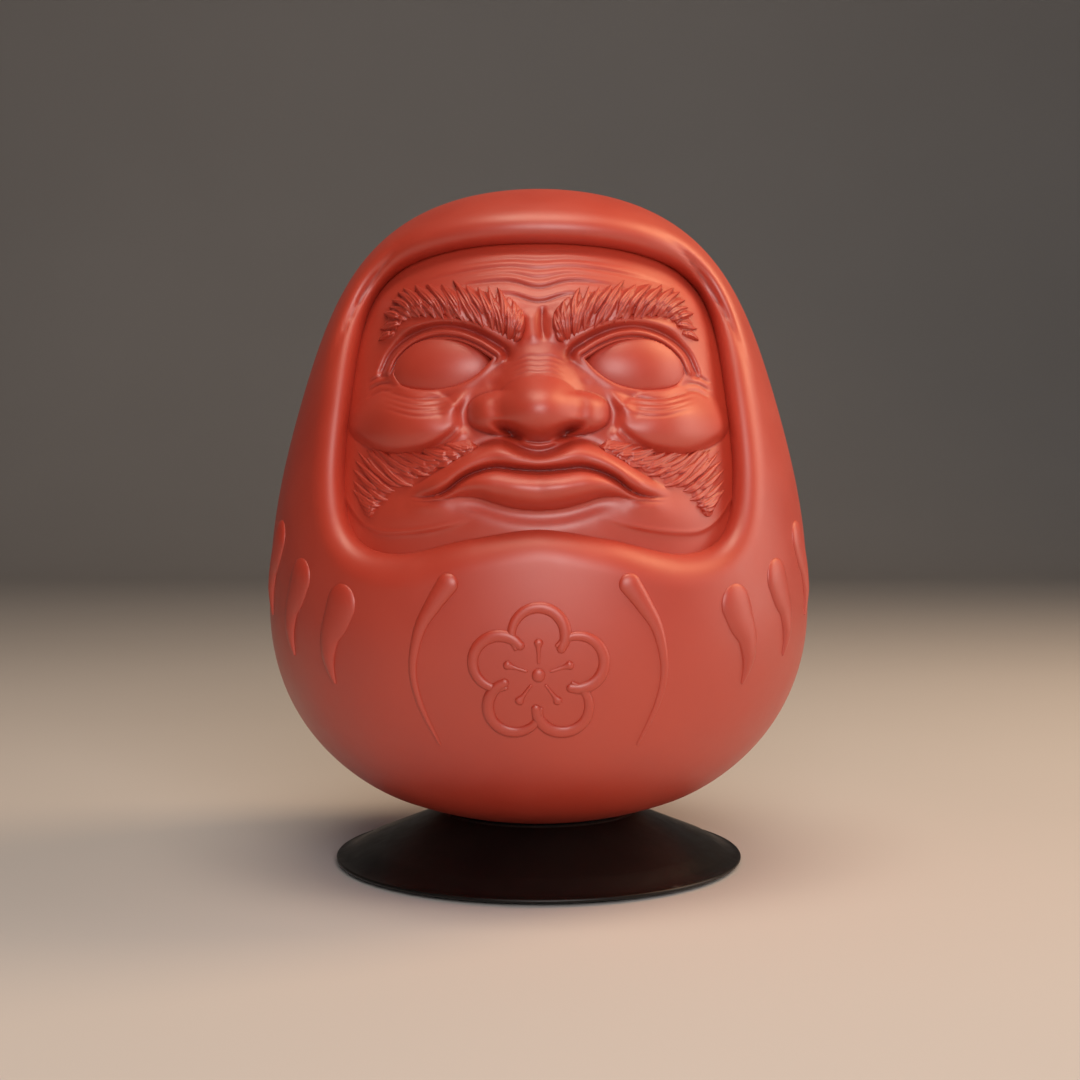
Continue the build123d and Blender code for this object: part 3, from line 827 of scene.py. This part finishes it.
def blossom_strokes():
    """Five brushed petal outlines, five stamens and the eye."""
    middle = (0, BLOSSOM_Z)
    strokes = [stroke_mesh([(0, BLOSSOM_Z - 0.1, 1.4), (0, BLOSSOM_Z + 0.1, 1.4)])]
    for k in range(5):
        out = 90 + 72 * k
        centre = polar(PETAL_PITCH, out, middle)
        petal = []
        for share in np.linspace(-1, 1, 13):
            x, z = polar(PETAL_RADIUS, out + PETAL_OPEN * share, centre)
            petal.append((x, z, 1.2 - 0.25 * share - 0.45 * share**4))
        strokes.append(stroke_mesh(petal))
        strokes.append(stroke_mesh([polar(r, out, middle) + (w,) for r, w in STAMEN]))
    return strokes


def ornaments(material):
    strokes_piece("front_blossom_strokes", blossom_strokes(), material, stands_for=["front_blossom"])
    for side in ("left", "right"):
        mirrored = side == "left"
        bracket = stroke_mesh(BRACKET, 0, mirrored)
        strokes_piece(f"{side}_bracket", [bracket], material, stands_for=[f"{side}_bracket_stroke"])
        for place, turn, height in TEARDROPS:
            discs = [(x, z + height, r) for x, z, r in TEARDROP]
            drop = stroke_mesh(discs, turn, mirrored)
            strokes_piece(f"{side}_drop_{place}", [drop], material, stands_for=[f"{side}_teardrop_{place}"])


# ---- stand --------------------------------------------------------------------------------------
def turned_rings(outline, turns=256):
    angles = np.linspace(0, 2 * math.pi, turns, endpoint=False)
    return [np.stack([r * np.cos(angles), r * np.sin(angles), np.full(turns, z)], axis=1) for r, z in outline]


CONE_LIP, CONE_HOLE, CONE_WALL, CONE_FOOT_RADIUS = 0.45, 23.4, 1.9, 46.0
LIP_HOLLOW = [(1.3, 0.98), (2.0, 1.2), (4.0, 2.05)]  # inwards from the rim, above the cone's foot
SLOPE_START, SLOPE_DROP, EDGE_ROUND = 0.9, 1.1, 0.5


def cone_skin(material):
    """The sloping skin with a rounded lip at its rim and a small round at its inner edge."""
    low, high = (np.array(corner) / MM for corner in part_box("stand_cone"))
    rim, foot, top = high[0], low[2], high[2]
    outline = [(CONE_FOOT_RADIUS, foot), (rim - CONE_LIP, foot)]
    for angle in np.linspace(0.2, 3.4, 14):
        out, up = CONE_LIP * math.sin(angle), CONE_LIP * math.cos(angle)
        outline.append((rim - CONE_LIP + out, foot + CONE_LIP - up))
    outline += [(rim - inwards, foot + above) for inwards, above in LIP_HOLLOW]
    for share in np.linspace(0.25, 1, 12):
        radius = rim + (CONE_HOLE + EDGE_ROUND - rim) * share
        outline.append((radius, foot + SLOPE_START + (top - foot - SLOPE_DROP) * share))
    outline += [(CONE_HOLE + 0.15, top - 0.06), (CONE_HOLE, top - 0.2), (CONE_HOLE, top - CONE_WALL)]
    look = dict(body="stand", slot="stand_black", stands_for=["stand_cone"])
    return ring_piece("cone_skin", turned_rings(outline), material, **look)


# ---- materials ------------------------------------------------------------------------------------
def new_material(name, **values):
    material = bpy.data.materials.new(name)
    material.use_nodes = True
    shader = material.node_tree.nodes["Principled BSDF"]
    for socket, value in values.items():
        shader.inputs[socket.replace("_", " ")].default_value = value
    return material, material.node_tree, shader


def noise(tree, scale, detail=3.0, roughness=0.5, stretch=(1, 1, 1)):
    """Solid noise in the object's own space."""
    place = tree.nodes.new("ShaderNodeTexCoord")
    mapping = tree.nodes.new("ShaderNodeMapping")
    mapping.inputs["Scale"].default_value = stretch
    texture = tree.nodes.new("ShaderNodeTexNoise")
    texture.inputs["Scale"].default_value = scale
    texture.inputs["Detail"].default_value = detail
    texture.inputs["Roughness"].default_value = roughness
    tree.links.new(place.outputs["Object"], mapping.inputs["Vector"])
    tree.links.new(mapping.outputs["Vector"], texture.inputs["Vector"])
    return texture.outputs["Fac"]


def ramp(tree, factor, stops):
    """A colour ramp of (place, colour) stops."""
    node = tree.nodes.new("ShaderNodeValToRGB")
    elements = node.color_ramp.elements
    while len(elements) < len(stops):
        elements.new(0.5)
    for element, (place, colour) in zip(elements, stops):
        element.position = place
        element.color = (*colour, 1)
    tree.links.new(factor, node.inputs["Fac"])
    return node.outputs["Color"]


def grey(value):
    return (value, value, value)


def mix(tree, factor, first, second):
    node = tree.nodes.new("ShaderNodeMix")
    node.data_type = "RGBA"
    if hasattr(factor, "is_linked"):
        tree.links.new(factor, node.inputs["Factor"])
    else:
        node.inputs["Factor"].default_value = factor
    for value, socket in ((first, node.inputs[6]), (second, node.inputs[7])):
        if hasattr(value, "is_linked"):
            tree.links.new(value, socket)
        else:
            socket.default_value = (*value, 1)
    return node.outputs[2]


def set_roughness(tree, shader, pattern, low, high):
    """A roughness that runs from low to high over the middle of a pattern's range."""
    rough = ramp(tree, pattern, [(0.3, grey(low)), (0.7, grey(high))])
    tree.links.new(rough, shader.inputs["Roughness"])


def add_bump(tree, shader, height, strength, distance):
    bump = tree.nodes.new("ShaderNodeBump")
    bump.inputs["Strength"].default_value = strength
    bump.inputs["Distance"].default_value = distance
    tree.links.new(height, bump.inputs["Height"])
    tree.links.new(bump.outputs["Normal"], shader.inputs["Normal"])


def doll_red():
    """Satin red resin: soft cloudy colour, with painted shade that darkens the creases."""
    material, tree, shader = new_material(
        "satin_red", Specular_IOR_Level=1.0, Coat_Weight=0.25, Coat_Roughness=0.5,
        Subsurface_Weight=0.08, Subsurface_Scale=0.003
    )
    shader.inputs["Subsurface Radius"].default_value = (1.0, 0.3, 0.15)
    dark, light = (0.46, 0.037, 0.016), (0.52, 0.047, 0.020)
    clouds = ramp(tree, noise(tree, 22, 4), [(0.35, dark), (0.65, light)])
    # painted shade: where the surface folds inwards (low pointiness) the red is mixed towards a deep red
    # (0.33, 0.020, 0.012)
    form = tree.nodes.new("ShaderNodeNewGeometry").outputs["Pointiness"]
    crease = ramp(tree, form, [(0.43, grey(1.0)), (0.50, grey(0.0))])
    colour = mix(tree, crease, clouds, (0.33, 0.020, 0.012))
    tree.links.new(colour, shader.inputs["Base Color"])
    set_roughness(tree, shader, noise(tree, 90, 5, 0.6), 0.41, 0.50)
    add_bump(tree, shader, noise(tree, 1600, 3, 0.6), 0.12, 0.0001)
    return material


def satin_black():
    """Black satin lacquer on metal, a little warm, with fine speckle and a painted highlight that lightens
    its sharp edges.
    """
    material, tree, shader = new_material("satin_black", Specular_IOR_Level=0.35)
    dark, light = (0.0035, 0.0032, 0.0030), (0.0075, 0.0062, 0.0052)
    clouds = ramp(tree, noise(tree, 60, 5), [(0.35, dark), (0.7, light)])
    # painted highlight: sharp outward edges (high pointiness) are mixed towards a lighter warm grey (0.05,
    # 0.042, 0.037)
    form = tree.nodes.new("ShaderNodeNewGeometry").outputs["Pointiness"]
    edge = ramp(tree, form, [(0.52, grey(0.0)), (0.62, grey(1.0))])
    tree.links.new(mix(tree, edge, clouds, (0.05, 0.042, 0.037)), shader.inputs["Base Color"])
    set_roughness(tree, shader, noise(tree, 220, 5, 0.65), 0.30, 0.42)
    add_bump(tree, shader, noise(tree, 2200, 2), 0.10, 0.00008)
    return material


def soft_rubber():
    material, tree, shader = new_material("soft_rubber", Specular_IOR_Level=0.35)
    colour = ramp(tree, noise(tree, 120, 5), [(0.3, grey(0.018)), (0.7, grey(0.032))])
    tree.links.new(colour, shader.inputs["Base Color"])
    set_roughness(tree, shader, noise(tree, 300, 4), 0.62, 0.78)
    add_bump(tree, shader, noise(tree, 2500, 3), 0.25, 0.0001)
    return material


def felt():
    """Pressed dark felt: short crossed fibres."""
    material, tree, shader = new_material(
        "dark_felt", Specular_IOR_Level=0.15, Sheen_Weight=0.3, Sheen_Roughness=0.6
    )
    on_and_off = [(0.35, grey(0.0)), (0.65, grey(1.0))]
    lengthways = ramp(tree, noise(tree, 900, 5, 0.7, (1, 0.12, 1)), on_and_off)
    crossways = ramp(tree, noise(tree, 900, 5, 0.7, (0.12, 1, 1)), on_and_off)
    fibres = mix(tree, 0.5, lengthways, crossways)
    colour = ramp(tree, fibres, [(0.2, (0.016, 0.014, 0.013)), (0.8, (0.050, 0.044, 0.040))])
    tree.links.new(colour, shader.inputs["Base Color"])
    rough = ramp(tree, fibres, [(0.0, grey(0.95)), (1.0, grey(0.82))])
    tree.links.new(rough, shader.inputs["Roughness"])
    add_bump(tree, shader, fibres, 0.6, 0.00015)
    return material


def cast_iron():
    material, tree, shader = new_material("cast_iron", Metallic=0.85)
    iron, rusty = (0.085, 0.085, 0.09), (0.13, 0.075, 0.045)
    rust = ramp(tree, noise(tree, 45, 6, 0.65), [(0.45, iron), (0.72, rusty)])
    tree.links.new(rust, shader.inputs["Base Color"])
    set_roughness(tree, shader, noise(tree, 200, 5), 0.55, 0.75)
    add_bump(tree, shader, noise(tree, 700, 5, 0.7), 0.7, 0.0003)
    return material


def screw_steel():
    material, tree, shader = new_material("screw_steel", Metallic=1.0)
    dark, light = (0.48, 0.47, 0.46), (0.62, 0.61, 0.60)
    colour = ramp(tree, noise(tree, 400, 4, 0.6, (1, 1, 12)), [(0.3, dark), (0.7, light)])
    tree.links.new(colour, shader.inputs["Base Color"])
    set_roughness(tree, shader, noise(tree, 500, 4), 0.24, 0.38)
    add_bump(tree, shader, noise(tree, 1800, 3, 0.6, (1, 1, 8)), 0.2, 0.00008)
    return material


def pale_floor():
    material, tree, shader = new_material("pale_floor", Roughness=0.75, Specular_IOR_Level=0.25)
    colour = ramp(tree, noise(tree, 3, 3), [(0.3, (0.60, 0.59, 0.575)), (0.7, (0.63, 0.62, 0.605))])
    tree.links.new(colour, shader.inputs["Base Color"])
    return material


def dress_cad_nodes(finishes):
    """Gives every CAD node that stays its own finish, by its material slot in the record."""
    slots = {part["node"]: part["material_slot"] for part in frame["record"]["subparts"]}
    for name, node in nodes.items():
        node.data.materials.clear()
        node.data.materials.append(finishes[slots[name]])


# ---- stage ----------------------------------------------------------------------------------------
def add_floor():
    """A pale floor that sweeps up far behind the object."""
    line = [(-3.0, 0.0), (1.2, 0.0)]
    line += [(1.2 + 0.8 * math.sin(a), 0.8 - 0.8 * math.cos(a)) for a in np.linspace(0.05, math.pi / 2, 24)]
    line += [(2.0, 4.0)]
    points = [(x, y, z) for y, z in line for x in (-4.0, 4.0)]
    faces = [(2 * i, 2 * i + 1, 2 * i + 3, 2 * i + 2) for i in range(len(line) - 1)]
    mesh = bpy.data.meshes.new("floor")
    mesh.from_pydata(points, [], faces)
    mesh.polygons.foreach_set("use_smooth", [True] * len(mesh.polygons))
    mesh.materials.append(pale_floor())
    floor = bpy.data.objects.new("floor", mesh)
    bpy.context.scene.collection.objects.link(floor)


def add_softbox(name, place, target, size, power, colour):
    light = bpy.data.lights.new(name, "AREA")
    light.shape = "RECTANGLE"
    light.size, light.size_y = size
    light.energy = power
    light.color = colour
    lamp = bpy.data.objects.new(name, light)
    bpy.context.scene.collection.objects.link(lamp)
    lamp.location = place
    aim = lamp.location - lamp.location.__class__(target)
    lamp.rotation_euler = aim.to_track_quat("Z", "Y").to_euler()


def light_studio():
    """A large soft box high in front, a warm one behind the right shoulder, and soft right and top fills."""
    world = bpy.data.worlds.new("studio")
    bpy.context.scene.world = world
    world.use_nodes = True
    background = world.node_tree.nodes["Background"]
    background.inputs["Color"].default_value = (0.90, 0.93, 1.0, 1)
    background.inputs["Strength"].default_value = 0.035
    middle = (0, 0, 0.09)  # metres; every box aims at the middle of the doll
    add_softbox("front", (0.12, -0.93, 0.44), middle, (0.60, 0.44), 5.7, (1.0, 0.92, 0.89))
    add_softbox("warm_key", (0.56, 0.14, 0.62), middle, (0.30, 0.40), 2.6, (1.0, 0.62, 0.34))
    add_softbox("right", (0.80, 0.02, 0.24), middle, (0.45, 0.55), 2.1, (1.0, 0.82, 0.70))
    add_softbox("top", (0.0, -0.16, 0.85), middle, (0.50, 0.35), 3.2, (1.0, 0.80, 0.62))
    bpy.context.scene.view_settings.view_transform = "Standard"


def add_camera():
    camera = bpy.data.cameras.new("camera")
    camera.lens, camera.sensor_width = 55.2, 36.0
    camera.clip_start = 0.01
    holder = bpy.data.objects.new("camera", camera)
    bpy.context.scene.collection.objects.link(holder)
    holder.location = (0.0003, -0.400, 0.0903)
    holder.rotation_euler = (math.radians(90 - 1.9), 0, 0)
    bpy.context.scene.camera = holder


def main():
    red, black, steel = doll_red(), satin_black(), screw_steel()
    dress_cad_nodes(
        {
            "doll_red": red,
            "stand_black": black,
            "seat_rubber": soft_rubber(),
            "pad_felt": felt(),
            "ballast_iron": cast_iron(),
            "screw_steel": steel,
        }
    )
    front_shell(red)
    rear_shell(red)
    face_pieces(red)
    ornaments(red)
    cone_skin(black)
    add_floor()
    light_studio()
    add_camera()


main()
